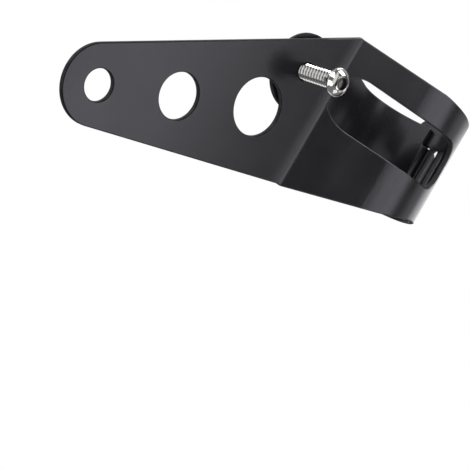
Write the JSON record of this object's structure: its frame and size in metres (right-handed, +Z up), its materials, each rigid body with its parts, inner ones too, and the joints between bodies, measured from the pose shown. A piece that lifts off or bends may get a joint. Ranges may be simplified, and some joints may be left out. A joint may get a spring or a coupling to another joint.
{
  "type": "headlight mounting bracket",
  "caption": "Fork clamp bracket for a headlight: a folded black steel ear with lamp holes and a windowed strap, closed round the fork tube by a hooked back strap and a clamp screw.",
  "frame": {"origin": "on the fork tube's axis, at the height of the clamp screw", "axes": "+Z up along the fork tube's axis; -X from the tube towards the lamp ear; -Y the side that the ear's front face and the screw's head look to"},
  "size_m": [0.1767, 0.0499, 0.0844],
  "materials": {
    "bracket": "semi-gloss black powder coat",
    "back_strap": "semi-gloss black powder coat",
    "weld_nut": "semi-gloss black powder coat over a steel nut",
    "clamp_screw": "polished stainless steel"
  },
  "bodies": {
    "root": {"bracket": "bracket", "back_strap": "back_strap", "weld_nut": "weld_nut", "clamp_screw": "clamp_screw"}
  },
  "joints": []
}
